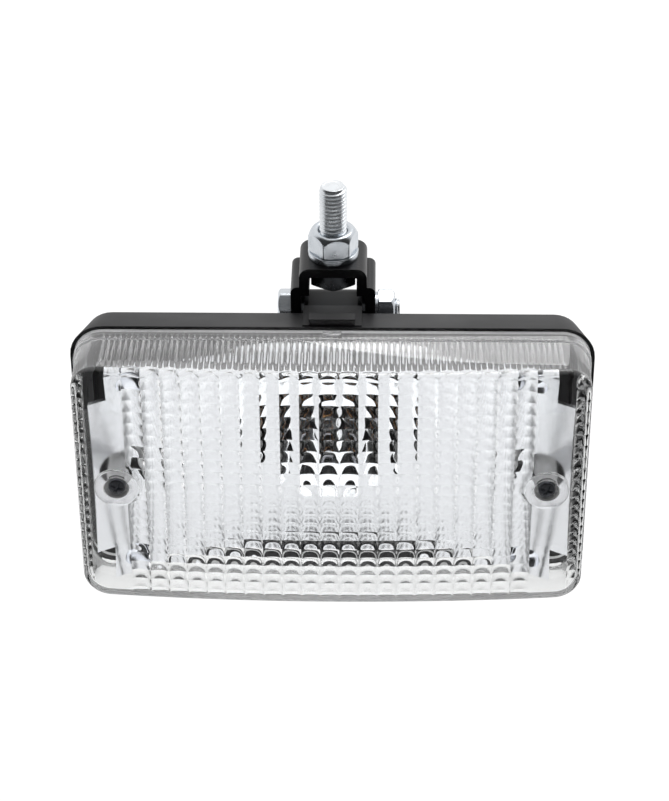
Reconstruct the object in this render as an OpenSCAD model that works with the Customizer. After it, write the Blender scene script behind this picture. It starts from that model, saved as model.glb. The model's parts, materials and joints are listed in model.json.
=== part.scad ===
// Fog light: clear lens on a black moulded housing, hung from a folded bracket with an M8 stud.
// The origin lies on the stud's axis, level with the top of the mounting nut.
// +X is to the right seen from the front, +Y points to the rear, +Z is up. Sizes are in mm.

/* [Lens] */
// Width of the lens
lens_w = 148; // [136:1:152]
// Height of the lens
lens_h = 81.6; // [78:0.2:88]
// Depth from the lens's back edge to its front face at the sides
lens_depth = 19.4; // [18.5:0.1:26]
// How far the middle of the front face stands out past its sides
lens_bulge = 3.5; // [1.5:0.1:6]
// Thickness of the lens
lens_wall = 2.2; // [1.6:0.1:3]
// Radius of the lens's four corners
lens_corner = 8; // [6:0.5:12]
// Depth of the flange along the back edge
flange_depth = 4.6; // [3:0.1:6]
// How far the flange stands out past the walls
flange_out = 0.6; // [0.4:0.1:1.5]
// Distance from the lens's side in to a screw well's axis
screw_inset = 11.7; // [11:0.1:14]
// Outer diameter of a screw well
well_d = 9.6; // [8.6:0.2:11]
// Inner diameter of a screw well
well_bore_d = 7; // [6.8:0.1:7.2]
// Thickness of a screw well's floor
well_floor = 2; // [1.6:0.1:3]

/* [Housing] */
// How far the housing stands out past the lens flange
lip = 1.2; // [0.5:0.1:2]
// Depth of the housing's tray
tray_depth = 14; // [12.6:0.1:14.2]
// How far the tray's walls lean in over that depth
tray_draft = 3.7; // [2:0.1:4.5]
// Thickness of the tray's walls
tray_wall = 2.2; // [1.8:0.1:2.8]
// Chamfer round the back edge of the tray
tray_chamfer = 1.2; // [0.5:0.1:2]
// Width of the rim that the lens sits on
rim_w = 6.2; // [5.4:0.1:7]
// Thickness of that rim
rim_t = 3; // [2.4:0.1:4]
// Outer diameter of the round boss at the back
boss_d = 44; // [41:0.5:46]
// How far the boss reaches behind the lens's back edge
boss_end = 47; // [46:0.5:52]
// Thickness of the boss's wall
boss_wall = 2.4; // [2:0.1:3]

/* [Reflector] */
// Focal length of the dish
dish_focus = 60; // [50:1:75]
// Depth of the dish's deepest point behind the lens's back edge
dish_vertex = 7; // [6.5:0.1:8.5]
// Distance from the lens's side in to the dish's edge
dish_inset_x = 4.5; // [4:0.1:8]
// Distance from the lens's top in to the dish's edge
dish_inset_z = 4.8; // [4.8:0.1:7]
// Width of the notch in each corner of the dish
notch_w = 5; // [3:0.5:5.5]
// Height of that notch
notch_h = 9.5; // [6:0.5:12]
// Thickness of the dish
dish_t = 1.6; // [1.2:0.1:2]
// Diameter of the bulb hole
bulb_hole_d = 30; // [28:0.5:32]
// Distance from the lens's side in to a corner recess
recess_inset_x = 15; // [14.5:0.1:18]
// Distance from the lens's top in to a corner recess
recess_inset_z = 9.8; // [9.6:0.1:12]
// Inner diameter of a recess
recess_d = 5.4; // [5:0.1:6]

/* [Bulb and socket] */
// Diameter of the bulb's glass
glass_d = 25; // [22:0.5:26]
// Diameter of the bulb's bayonet base
base_d = 15; // [15:0.1:15.2]
// Depth of the base's front edge behind the lens's back edge
base_start = 15; // [14.5:0.1:15.5]
// Length of the base's metal sleeve
base_len = 14; // [13:0.5:14]
// Clearance between base and socket
socket_gap = 0.2; // [0.1:0.05:0.4]

/* [Cable inlet] */
// Diameter of the cable hole
cable_d = 6; // [5:0.1:7]
// Length of the grommet
grommet_len = 9; // [8:0.5:12]

/* [Bracket] */
// Width of the steel strip
strip_w = 17; // [16:0.1:18]
// Thickness of the steel strip
strip_t = 3; // [2.5:0.1:3.2]
// Gap between the legs, where the stud's head sits
leg_gap = 13.8; // [13.4:0.1:14.2]
// Width of the lug that fits between the ears
lug_w = 17; // [16:0.1:18]
// Radius of the lug's eye round the pivot
eye_r = 5.4; // [5:0.1:5.6]
// Distance from the bracket's top face down to the pivot
pivot_drop = 18.4; // [18:0.1:22]
// Height of the ears' shoulders below the bracket's top face
shoulder_drop = 6.2; // [5.8:0.1:6.6]

/* [Fasteners] */
// Diameter of the mounting stud
stud_d = 8; // [8:8]
// Length of the stud bolt under its head
stud_len = 26; // [22:0.5:35]
// Width across flats of the M8 head and nut
stud_flats = 13; // [13:13]
// Height of the mounting nut
nut_h = 6.8; // [6:0.1:7]
// Thickness of the spring washer
spring_washer_t = 2; // [1.2:0.1:2.4]
// Diameter of the pivot bolt
pivot_d = 6; // [6:6]
// Length of the pivot bolt under its head
pivot_len = 32; // [31.5:0.5:40]
// Width across flats of the M6 head and nut
pivot_flats = 10; // [10:10]
// Running clearance round the pivot bolt
pivot_gap = 0.08; // [0.05:0.01:0.1]
// Thickness of each friction washer
friction_washer_t = 0.9; // [0.6:0.1:1.2]

/* [Hidden] */

round_fn = 64;
hull_fn = 32;
eps = 0.01;

// Heights on the stud's axis, from the nut's top face down
seat_z = -(nut_h + spring_washer_t);
plate_bottom_z = seat_z - strip_t;
pivot_z = seat_z - pivot_drop;
stud_head_h = 5.3;
stud_tip_z = plate_bottom_z + stud_len;
stud_chamfer = 1;
thread_r = 3.594;             // pitch radius, where the nut's and the stud's threads meet
thread_gap = 0.03;
stud_hole_gap = 0.25;
washer_od = 14.8;
washer_split = 1.2;
washer_split_turn = 70;
nut_turn = 10;
stud_head_turn = 30;
pivot_head_turn = -14.5;
pivot_nut_turn = -20;
washer_bore_gap = 0.45;

// The lamp hangs in front of and below the pivot
pivot_behind_lens = 24;
pivot_below_rim = 8.5;
lug_front_y = 0.8;
lug_rise = 0.2;
arm_drop = 9;
eye_chamfer = 1.3;
pad_w = 13.2;
pad_l = 3.4;
pad_rise = 2.2;
rim_outer_w = lens_w + 2*flange_out + 2*lip;
rim_outer_h = lens_h + 2*flange_out + 2*lip;
rim_corner = lens_corner + flange_out + lip;
pivot_above_lens = rim_outer_h/2 - pivot_below_rim;
lamp_origin = [0, -pivot_behind_lens, pivot_z - pivot_above_lens];

ear_gap = lug_w + 2*friction_washer_t;
ear_r = strip_w/2;
bend_r = 3.2;
bend_inner_r = 0.4;
shoulder_r = 2;
eye_start_y = pivot_behind_lens - ear_r - 1;
eye_overlap = 0.5;
pivot_head_h = 4;
pivot_nut_h = 5;
lock_washer_t = 0.7;
lock_washer_inset = 0.2;
friction_washer_d = 12;
pivot_hole_gap = 0.2;

// Front face of the lens: an arc in plan
bulge_r = (pow(lens_w/2, 2) + pow(lens_bulge, 2))/(2*lens_bulge);
front_y = -(lens_depth + lens_bulge);
front_centre_y = front_y + bulge_r;
front_fn = 512;

screw_x = lens_w/2 - screw_inset;
screw_d = 3.9;
screw_pilot_gap = 0.04;
screw_hole_gap = 0.3;
screw_head_d = 6.4;
screw_head_h = 2.4;
screw_len = 12;
cross_w = 3.4;
cross_t = 0.8;
cross_depth = 1.2;
cross_turn = 20;
seal_t = 0.8;
seal_d = 6.6;
screw_boss_d = 9.6;
well_ring_d = 13;
well_ring_h = 0.6;

pillow_columns = 25;
pillow_rows_up = 10;
pillow_rows_low = 11;
pillow_knee_z = -2.1;
pillow_margin_x = 1.8;
pillow_margin_z = 0.4;
pillow_shift = -0.6;
pillow_edge = 0.1;
pillow_rise = 0.8;
pillow_root = 1;
pillow_clear_r = 6.8;

lens_edge_r = 1.6;
tab_w = 5.5;
tab_l = 2.2;
tab_back = 0.9;
tab_rise = 0.35;

gasket_w = 2.2;
gasket_t = 1.8;
gasket_inset = 0.4;
gasket_gap = 0.1;

peg_d = 3;
peg_gap = 0.1;
peg_post_d = 7;
recess_depth = 4.5;
recess_wall = 1.2;
recess_floor = 1.2;
dish_steps = 14;
dish_w = lens_w - 2*dish_inset_x;
dish_h = lens_h - 2*dish_inset_z;
dish_lens_gap = 0.4;
dish_front_y = -(lens_depth - lens_wall - dish_lens_gap);
recess_x = lens_w/2 - recess_inset_x;
recess_z = lens_h/2 - recess_inset_z;

glass_wall = 0.8;
glass_tip_y = -14.5;
pin_d = 2;
pin_gap = 0.2;
pin_out = 1;
pin_from_end = 4;
base_wall = 0.4;
insulator_t = 3;
contact_t = 1.2;
contact_d = 5;

base_end = base_start + base_len;
contact_y = base_end + insulator_t + contact_t;
neck_r = base_d/2 - base_wall;
neck_seat = 2.5;
bead_r = 1.2;
bead_back = 2;
filament_half = 2.6;
filament_r = 0.6;
filament_y = -3.6;
post_r = 0.4;

plunger_t = 2;
pin_head_t = 0.6;
pin_head_d = 4;
pin_shank_d = 2.2;
pin_tail = 1.5;
plunger_y = contact_y + pin_head_t;
spring_space = 4;
spring_r = 4.2;
spring_wire = 0.7;
spring_turns = 2.5;
spring_sides = 8;
spring_steps = 16;
board_y = plunger_y + plunger_t + spring_space;
board_t = 2;
board_gap = 0.8;
socket_wall = 0.6;
socket_r = base_d/2 + socket_gap;
socket_mouth_y = base_start + 1.5;
socket_flange_r = 10.2;
socket_flange_t = 1;
slot_turn = 40;
board_screw_x = 13;
board_screw_d = 2.9;
board_screw_head_d = 5.2;
board_screw_head_h = 1.6;
board_screw_len = 4.5;
board_post_d = 6;
blade_t = 0.8;
blade_top_z = 12.6;
live_blade_w = 6.3;
earth_blade_w = 4.8;
earth_x = 7.6;
earth_z = 7.6;
seat_t = 0.5;
seat_r = 5.2;
rivet_d = 2.4;
rivet_gap = 0.05;
rivet_lip = 0.5;
ear_tab_r = 2.4;

grommet_z = -11;
grommet_wall = 3;
grommet_groove = 1.2;
grommet_head_t = 2;
boss_taper = 1.5;
boss_chamfer = 1.5;
boss_r = boss_d/2;
boss_bore_r = boss_r - boss_taper - boss_wall;
boss_floor_y = boss_end - boss_wall;
rib_t = 2.4;
rib_foot = 13;

// 2D: rectangle with round corners
module rounded(w, h, r, fn = round_fn) {
    square([w - 2*r, h], center = true);
    square([w, h - 2*r], center = true);
    for (x = [-1, 1], z = [-1, 1])
        translate([x*(w/2 - r), z*(h/2 - r)]) circle(r, $fn = fn);
}

// Extrude a 2D shape, drawn as X and Z, from y0 to y1
module slab_y(y0, y1) {
    translate([0, y1, 0]) rotate([90, 0, 0]) linear_extrude(y1 - y0) children();
}

// Extrude a 2D shape, drawn as Y and Z, from x0 to x1
module slab_x(x0, x1) {
    translate([x0, 0, 0]) rotate([90, 0, 90]) linear_extrude(x1 - x0) children();
}

module rod_y(r, y0, y1) {
    translate([0, y1, 0]) rotate([90, 0, 0]) cylinder(r = r, h = y1 - y0, $fn = round_fn);
}

module rod_x(r, x0, x1) {
    translate([x0, 0, 0]) rotate([0, 90, 0]) cylinder(r = r, h = x1 - x0, $fn = round_fn);
}

// Turn a profile, drawn as radius and Y, about the Y axis
module turned_y() {
    rotate([-90, 0, 0]) rotate_extrude($fn = round_fn) children();
}

module hexagon(flats) {
    circle(d = flats/cos(30), $fn = 6);
}

module in_lamp() {
    translate(lamp_origin) children();
}

module at_screws() {
    for (side = [-1, 1]) translate([side*screw_x, 0, 0]) children();
}

module at_recesses() {
    for (x = [-1, 1], z = [-1, 1])
        translate([x*recess_x, 0, z*recess_z]) children();
}

function dish_y(r) = dish_vertex - pow(r, 2)/(4*dish_focus);
recess_r = norm([recess_x, recess_z]);
recess_floor_y = dish_y(recess_r) + recess_depth;
well_front_y = front_centre_y - sqrt(pow(bulge_r, 2) - pow(screw_x, 2));

// Lines between the pillows, which stand on the lens's inner face
pillow_top = lens_h/2 - lens_wall - pillow_margin_z;
pillow_x = [for (i = [0:pillow_columns])
    pillow_shift + (i/pillow_columns - 0.5)*(lens_w - 2*lens_wall - 2*pillow_margin_x)];
pillow_z = concat(
    [for (j = [0:pillow_rows_low - 1])
        j/pillow_rows_low*(pillow_top + pillow_knee_z) - pillow_top],
    [for (j = [0:pillow_rows_up])
        pillow_knee_z + j/pillow_rows_up*(pillow_top - pillow_knee_z)]);
function inner_y(x) = front_centre_y - sqrt(pow(bulge_r - lens_wall, 2) - pow(x, 2));

// ---- Bracket and its fasteners ----

// Block with round upper corners, as X and Z
module arch(half, top, r, foot) {
    translate([-half, foot]) square([2*half, top - r - foot]);
    translate([r - half, foot]) square([2*(half - r), top - foot]);
    for (side = [-1, 1])
        translate([side*(half - r), top - r]) circle(r, $fn = round_fn);
}

// Front view of the folded strip, as X and Z
module bracket_front() {
    shoulder_z = seat_z - shoulder_drop;
    leg_foot_z = shoulder_z - strip_t;
    foot_z = pivot_z - ear_r;
    difference() {
        union() {
            arch(leg_gap/2 + strip_t, seat_z, bend_r, leg_foot_z);
            arch(ear_gap/2 + strip_t, shoulder_z, shoulder_r, foot_z);
        }
        arch(leg_gap/2, plate_bottom_z, bend_inner_r, foot_z - 1);
        translate([-ear_gap/2, foot_z - 1]) square([ear_gap, leg_foot_z - foot_z + 1]);
    }
}

// Side view of the strip, as Y and Z: straight edges and a round end about the pivot
module strip_outline() {
    translate([-ear_r, pivot_z]) square([strip_w, seat_z - pivot_z]);
    translate([0, pivot_z]) circle(ear_r, $fn = round_fn);
}

module bracket() {
    color([0.06, 0.06, 0.06])
    difference() {
        intersection() {
            slab_y(-ear_r, ear_r) bracket_front();
            slab_x(-ear_gap, ear_gap) strip_outline();
        }
        translate([0, 0, plate_bottom_z - 1])
            cylinder(r = thread_r + stud_hole_gap, h = strip_t + 2, $fn = round_fn);
        translate([0, 0, pivot_z])
            rod_x(pivot_d/2 + pivot_hole_gap, -ear_gap, ear_gap);
    }
}

module stud_bolt() {
    color([0.72, 0.74, 0.76]) {
        translate([0, 0, plate_bottom_z])
            rotate([180, 0, stud_head_turn]) chamfered_hex(stud_flats, stud_head_h);
        rotate_extrude($fn = round_fn)
            polygon([[0, plate_bottom_z - 1], [thread_r, plate_bottom_z - 1], [thread_r, 0],
                     [stud_d/2, 0], [stud_d/2, stud_tip_z - stud_chamfer],
                     [stud_d/2 - stud_chamfer, stud_tip_z], [0, stud_tip_z]]);
    }
}

module spring_washer() {
    color([0.75, 0.77, 0.8])
    translate([0, 0, seat_z])
    difference() {
        cylinder(d = washer_od, h = spring_washer_t, $fn = round_fn);
        translate([0, 0, -1])
            cylinder(r = thread_r + washer_bore_gap, h = spring_washer_t + 2,
                     $fn = round_fn);
        rotate([0, 0, washer_split_turn]) translate([0, -washer_split/2, -1])
            cube([washer_od, washer_split, spring_washer_t + 2]);
    }
}

// Hexagon with its upper corners turned off at 30 degrees, or the lower ones as well
module chamfered_hex(flats, h, both_ends = false) {
    corner_r = flats/2/cos(30);
    drop = (corner_r - flats/2)*tan(30);
    upper = [[corner_r, h - drop], [flats/2, h], [0, h]];
    lower = both_ends ? [[0, 0], [flats/2, 0], [corner_r, drop]] : [[0, 0], [corner_r, 0]];
    intersection() {
        linear_extrude(h) hexagon(flats);
        rotate_extrude($fn = round_fn) polygon(concat(lower, upper));
    }
}

module mounting_nut() {
    color([0.75, 0.77, 0.8])
    difference() {
        translate([0, 0, -nut_h]) rotate([0, 0, nut_turn])
            chamfered_hex(stud_flats, nut_h, true);
        translate([0, 0, -nut_h - 1])
            cylinder(r = thread_r + thread_gap, h = nut_h + 2, $fn = round_fn);
    }
}

module pivot_bolt() {
    start = -(ear_gap/2 + strip_t);
    color([0.72, 0.74, 0.76])
    translate([0, 0, pivot_z]) {
        rod_x(pivot_d/2, start, start + pivot_len);
        translate([start, 0, 0]) rotate([0, -90, 0]) rotate([0, 0, pivot_head_turn])
            chamfered_hex(pivot_flats, pivot_head_h);
    }
}

module pivot_lock_washer() {
    start = ear_gap/2 + strip_t;
    color([0.75, 0.77, 0.8])
    translate([0, 0, pivot_z])
    difference() {
        rod_x(pivot_flats/2 - lock_washer_inset, start, start + lock_washer_t);
        rod_x(pivot_d/2 + pivot_gap, start - 1, start + lock_washer_t + 1);
    }
}

module pivot_nut() {
    start = ear_gap/2 + strip_t + lock_washer_t;
    color([0.75, 0.77, 0.8])
    translate([0, 0, pivot_z])
    difference() {
        translate([start, 0, 0]) rotate([0, 90, 0]) rotate([0, 0, pivot_nut_turn])
            chamfered_hex(pivot_flats, pivot_nut_h, true);
        rod_x(pivot_d/2 + thread_gap, start - 1, start + pivot_nut_h + 1);
    }
}

module friction_washers() {
    color([0.7, 0.72, 0.74])
    translate([0, 0, pivot_z])
    for (side = [0, 1]) mirror([side, 0, 0])
        difference() {
            rod_x(friction_washer_d/2, lug_w/2, ear_gap/2);
            rod_x(pivot_d/2 + pivot_gap, lug_w/2 - 1, ear_gap/2 + 1);
        }
}

// ---- Lens ----

// Body of the lens, with its sides and its front face drawn in
module lens_form(side_inset, front_inset, back) {
    intersection() {
        slab_y(front_y, back)
            rounded(lens_w - 2*side_inset, lens_h - 2*side_inset, lens_corner - side_inset);
        translate([0, 0, -lens_h/2])
            linear_extrude(lens_h)
                intersection() {
                    translate([-lens_w, front_y]) square([2*lens_w, back - front_y]);
                    translate([0, front_centre_y])
                        circle(bulge_r - front_inset, $fn = front_fn);
                }
    }
}

// The same body with a round edge about its front face
module lens_block() {
    hull()
        for (turn = [0:30:90])
            lens_form(lens_edge_r*(1 - sin(turn)), lens_edge_r*(1 - cos(turn)), 0);
}

module lens() {
    color([0.85, 0.88, 0.9, 0.5])
    in_lamp()
    difference() {
        union() {
            difference() {
                lens_block();
                lens_form(lens_wall, lens_wall, 1);
            }
            slab_y(-flange_depth, 0)
                difference() {
                    rounded(lens_w + 2*flange_out, lens_h + 2*flange_out,
                            lens_corner + flange_out);
                    rounded(lens_w - lens_wall, lens_h - lens_wall,
                            lens_corner - lens_wall/2);
                }
            pillow_field();
            translate([-tab_w/2, -tab_back - tab_l, lens_h/2])
                cube([tab_w, tab_l, flange_out + tab_rise]);
            at_screws() {
                rod_y(well_d/2, well_front_y + lens_wall/2, 0);
                rod_y(well_ring_d/2, well_front_y - well_ring_h, well_front_y + lens_wall/2);
            }
        }
        at_screws() {
            rod_y(well_bore_d/2, front_y - 2, -well_floor);
            rod_y(screw_d/2 + screw_hole_gap, -well_floor - 1, 1);
        }
    }
}

// One pillow: a block rooted in the wall, with its face raised to a point in the middle
module pillow(x0, x1, z0, z1) {
    y0 = inner_y(x0);
    y1 = inner_y(x1);
    block = [for (y = [-pillow_root, pillow_edge])
        each [[x0, y0 + y, z0], [x1, y1 + y, z0], [x1, y1 + y, z1], [x0, y0 + y, z1]]];
    middle = [(x0 + x1)/2, (y0 + y1)/2 + pillow_edge + pillow_rise, (z0 + z1)/2];
    hull() polyhedron(concat(block, [middle]),
                      [[0, 3, 2, 1], [0, 1, 5, 4], [1, 2, 6, 5], [2, 3, 7, 6], [3, 0, 4, 7],
                       [4, 5, 8], [5, 6, 8], [6, 7, 8], [7, 4, 8]]);
}

// Pillows in columns and rows, left off round the screw wells
module pillow_field() {
    difference() {
        for (i = [1:len(pillow_x) - 1], j = [1:len(pillow_z) - 1])
            pillow(pillow_x[i - 1], pillow_x[i], pillow_z[j - 1], pillow_z[j]);
        at_screws() rod_y(pillow_clear_r, front_y, 1);
    }
}

module lens_gasket() {
    color([0.1, 0.1, 0.1])
    in_lamp()
    slab_y(0, gasket_t) gasket_ring(0);
}

// The gasket's outline, widened by gap on both sides
module gasket_ring(gap) {
    difference() {
        rounded(lens_w - 2*gasket_inset + 2*gap, lens_h - 2*gasket_inset + 2*gap,
                lens_corner - gasket_inset + gap);
        rounded(lens_w - 2*gasket_inset - 2*gasket_w - 2*gap,
                lens_h - 2*gasket_inset - 2*gasket_w - 2*gap,
                lens_corner - gasket_inset - gasket_w - gap);
    }
}

module lens_screws() {
    color([0.5, 0.5, 0.52])
    in_lamp() at_screws()
    difference() {
        translate([0, -well_floor - seal_t, 0]) {
            rod_y(screw_d/2, 0, screw_len);
            rod_y(screw_head_d/2, -screw_head_h, 0);
        }
        translate([0, -well_floor - seal_t - screw_head_h, 0])
            for (turn = [0, 90]) rotate([0, turn + cross_turn, 0])
                cube([cross_w, 2*cross_depth, cross_t], center = true);
    }
}

module screw_seals() {
    color([0.1, 0.1, 0.1])
    in_lamp() at_screws()
    difference() {
        rod_y(seal_d/2, -well_floor - seal_t, -well_floor);
        rod_y(screw_d/2 + screw_pilot_gap, -well_floor - seal_t - 1, -well_floor + 1);
    }
}

// ---- Housing ----

// Plate of the tray, drawn in by inset, between two depths
module tray_plate(inset, y0, y1) {
    slab_y(y0, y1)
        rounded(rim_outer_w - 2*inset, rim_outer_h - 2*inset, rim_corner - inset*0.5, hull_fn);
}

module tray_shell() {
    difference() {
        hull() {
            tray_plate(0, 0, eps);
            tray_plate(tray_draft*(1 - tray_chamfer/tray_depth),
                       tray_depth - tray_chamfer, tray_depth - tray_chamfer + eps);
            tray_plate(tray_draft + tray_chamfer, tray_depth - eps, tray_depth);
        }
        hull() {
            tray_plate(tray_wall, -eps, 0);
            tray_plate(tray_draft + tray_wall, tray_depth - tray_wall - eps,
                       tray_depth - tray_wall);
        }
    }
}

// Side view of the lug's arm and eye, as Y and Z
module lug_side() {
    tray_top = rim_outer_h/2;
    polygon([[lug_front_y, tray_top - rim_t], [lug_front_y, tray_top + lug_rise],
             [pivot_behind_lens, pivot_above_lens + eye_r],
             [pivot_behind_lens, pivot_above_lens - eye_r],
             [tray_depth - 1, pivot_above_lens - eye_r - arm_drop],
             [tray_depth - 1, tray_top - tray_draft - tray_wall],
             [lug_front_y, tray_top - rim_t]]);
    translate([pivot_behind_lens, pivot_above_lens]) circle(eye_r, $fn = round_fn);
}

// Side view of the pad on the lug's front end
module pad_side() {
    tray_top = rim_outer_h/2;
    polygon([[lug_front_y, tray_top - 1], [lug_front_y, tray_top + pad_rise],
             [lug_front_y + pad_l, tray_top + pad_rise],
             [lug_front_y + pad_l + pad_rise, tray_top - 1]]);
}

// Front view that takes the upper corners off the eye, as X and Z
module eye_front() {
    top = pivot_above_lens + eye_r;
    polygon([[-lug_w/2, 0], [-lug_w/2, top - eye_chamfer], [-lug_w/2 + eye_chamfer, top],
             [lug_w/2 - eye_chamfer, top], [lug_w/2, top - eye_chamfer], [lug_w/2, 0]]);
}

module lug() {
    slab_x(-lug_w/2, lug_w/2)
        intersection() {
            lug_side();
            square([eye_start_y, rim_outer_h]);
        }
    intersection() {
        slab_x(-lug_w/2, lug_w/2) lug_side();
        slab_y(eye_start_y - eye_overlap, pivot_behind_lens + ear_r) eye_front();
    }
    slab_x(-pad_w/2, pad_w/2) pad_side();
}

module housing() {
    color([0.05, 0.05, 0.05])
    in_lamp()
    difference() {
        union() {
            tray_shell();
            slab_y(0, rim_t)
                difference() {
                    rounded(rim_outer_w - 2*tray_wall/2, rim_outer_h - 2*tray_wall/2,
                            rim_corner - tray_wall/2);
                    rounded(rim_outer_w - 2*rim_w, rim_outer_h - 2*rim_w, rim_corner - rim_w);
                }
            lug();
            turned_y() boss_profile();
            for (turn = [0, 90, 180]) rotate([0, turn, 0]) boss_rib();
            at_screws() rod_y(screw_boss_d/2, 0, tray_depth - 1);
            at_recesses() rod_y(peg_post_d/2, recess_floor_y + recess_floor, tray_depth - 1);
            at_recesses() rod_y(peg_d/2, recess_floor_y - 0.8, recess_floor_y + recess_floor + 1);
        }
        rod_y(boss_bore_r, tray_depth - tray_wall - 1, boss_floor_y);
        slab_y(-1, gasket_t) gasket_ring(gasket_gap);
        at_screws() rod_y(screw_d/2 + screw_pilot_gap, -1, screw_len);
        translate([0, pivot_behind_lens, pivot_above_lens])
            rod_x(pivot_d/2 + pivot_gap, -lug_w, lug_w);
        translate([0, 0, grommet_z])
            rod_y(cable_d/2 + grommet_wall - grommet_groove, boss_floor_y - 1, boss_end + 1);
    }
    in_lamp() board_posts();
}

// Section of the boss, as radius and Y
module boss_profile() {
    polygon([[0, tray_depth - 1], [boss_r, tray_depth - 1], [boss_r, tray_depth],
             [boss_r - boss_taper, boss_end - boss_chamfer],
             [boss_r - boss_taper - boss_chamfer, boss_end], [0, boss_end]]);
}

// Gusset between the tray's back and the boss, on the +X side
module boss_rib() {
    translate([0, 0, -rib_t/2])
        linear_extrude(rib_t)
            polygon([[boss_r - boss_taper - 1, tray_depth - 1],
                     [boss_r + rib_foot, tray_depth - 1],
                     [boss_r - boss_taper - 1, boss_end - rib_foot]]);
}
// Posts on the boss's floor that the socket's board is screwed to
module board_posts() {
    color([0.05, 0.05, 0.05])
    for (side = [-1, 1]) translate([side*board_screw_x, 0, 0])
        difference() {
            rod_y(board_post_d/2, board_y + board_t, boss_floor_y);
            rod_y(board_screw_d/2 + screw_pilot_gap, board_y + board_t - 1, boss_floor_y + 1);
        }
}

module cable_grommet() {
    r = cable_d/2 + grommet_wall;
    start = boss_floor_y - grommet_head_t;
    color([0.1, 0.1, 0.1])
    in_lamp() translate([0, 0, grommet_z])
    turned_y()
        polygon([[cable_d/2, start], [r, start], [r, boss_floor_y],
                 [r - grommet_groove, boss_floor_y], [r - grommet_groove, boss_end],
                 [r, boss_end], [r, boss_end + grommet_head_t - 0.6],
                 [r - 1.6, boss_end + grommet_head_t], [r - 2, start + grommet_len],
                 [cable_d/2, start + grommet_len]]);
}

// ---- Reflector ----

dish_r = norm([dish_w, dish_h])/2 + 2;
// Points along the dish's front face, as radius and Y
dish_curve = [for (i = [0:dish_steps])
    let (r = dish_r*i/dish_steps) [r, dish_y(r)]];
dish_back = [for (i = [dish_steps:-1:0]) dish_curve[i] + [0, dish_t]];

// Everything behind the dish's front face
module behind_dish() {
    turned_y() polygon(concat(dish_curve, [[dish_r, dish_vertex + 5], [0, dish_vertex + 5]]));
}

// Front view of the dish: a rectangle with its corners notched
module dish_outline() {
    square([dish_w, dish_h - 2*notch_h], center = true);
    square([dish_w - 2*notch_w, dish_h], center = true);
}

module reflector() {
    color([0.88, 0.89, 0.9])
    in_lamp()
    difference() {
        union() {
            intersection() {
                turned_y() polygon(concat(dish_curve, dish_back));
                slab_y(dish_front_y, dish_vertex + dish_t) dish_outline();
            }
            intersection() {
                behind_dish();
                at_recesses()
                    rod_y(recess_d/2 + recess_wall, dish_front_y, recess_floor_y + recess_floor);
            }
        }
        rod_y(bulb_hole_d/2, front_y, dish_vertex + dish_t + 1);
        at_screws() rod_y(well_d/2 + 0.8, front_y, dish_vertex);
        at_recesses() rod_y(recess_d/2, front_y, recess_floor_y);
        at_recesses() rod_y(peg_d/2 + peg_gap, front_y, recess_floor_y + recess_floor + 1);
    }
}

// ---- Bulb ----

glass_y = glass_tip_y + glass_d/2;

// Section of the bulb's glass, as radius and Y, drawn in by inset
module glass_section(inset, back) {
    r = glass_d/2 - inset;
    intersection() {
        union() {
            translate([0, glass_y]) circle(r, $fn = round_fn);
            translate([0, glass_y]) square([neck_r - inset, back - glass_y]);
        }
        translate([0, glass_tip_y - 1]) square([glass_d, back - glass_tip_y + 1]);
    }
}

module bulb_glass() {
    color([0.9, 0.93, 0.95, 0.4])
    in_lamp()
    turned_y()
        difference() {
            glass_section(0, base_start + neck_seat);
            glass_section(glass_wall, base_start + neck_seat + 1);
        }
}

module bulb_base() {
    color([0.72, 0.52, 0.25])
    in_lamp() {
        difference() {
            rod_y(base_d/2, base_start, base_end);
            rod_y(base_d/2 - base_wall, base_start - 1, base_end + 1);
        }
        for (side = [0, 1]) mirror([side, 0, 0])
            translate([0, base_end - pin_from_end, 0])
                rod_x(pin_d/2, base_d/2 - base_wall, base_d/2 + pin_out);
    }
}

module bulb_insulator() {
    color([0.08, 0.08, 0.1])
    in_lamp()
    turned_y()
        polygon([[0, base_end], [base_d/2, base_end], [base_d/2, base_end + 1],
                 [base_d/3, base_end + insulator_t], [0, base_end + insulator_t]]);
}

module bulb_contact() {
    color([0.75, 0.75, 0.78])
    in_lamp()
    turned_y()
        polygon([[0, base_end + insulator_t], [contact_d/2, base_end + insulator_t],
                 [contact_d/2, contact_y - 0.5], [contact_d/2 - 0.5, contact_y],
                 [0, contact_y]]);
}

module filament() {
    color([0.5, 0.5, 0.52])
    in_lamp() translate([0, filament_y, 0])
        rod_x(filament_r, -filament_half - post_r, filament_half + post_r);
}

module filament_posts() {
    color([0.7, 0.7, 0.72])
    in_lamp() {
        for (side = [-1, 1]) translate([side*filament_half, 0, 0])
            rod_y(post_r, filament_y + filament_r, base_end);
        translate([0, glass_y + glass_d/2 - bead_back, 0])
            rod_x(bead_r, -filament_half - 1, filament_half + 1);
    }
}

// ---- Socket ----

module socket_shell() {
    pin_y = base_end - pin_from_end;
    color([0.78, 0.78, 0.8])
    in_lamp()
    difference() {
        union() {
            rod_y(socket_r + socket_wall, socket_mouth_y, board_y);
            rod_y(socket_flange_r, board_y - socket_flange_t, board_y);
            translate([earth_x, 0, earth_z])
                rod_y(ear_tab_r, board_y - socket_flange_t, board_y);
        }
        rod_y(socket_r, socket_mouth_y - 1, board_y + 1);
        for (turn = [0, 180]) rotate([0, turn, 0]) bayonet_slot(pin_y);
        translate([earth_x, 0, earth_z])
            rod_y(rivet_d/2 + rivet_gap, board_y - socket_flange_t - 1, board_y + 1);
    }
}

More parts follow.
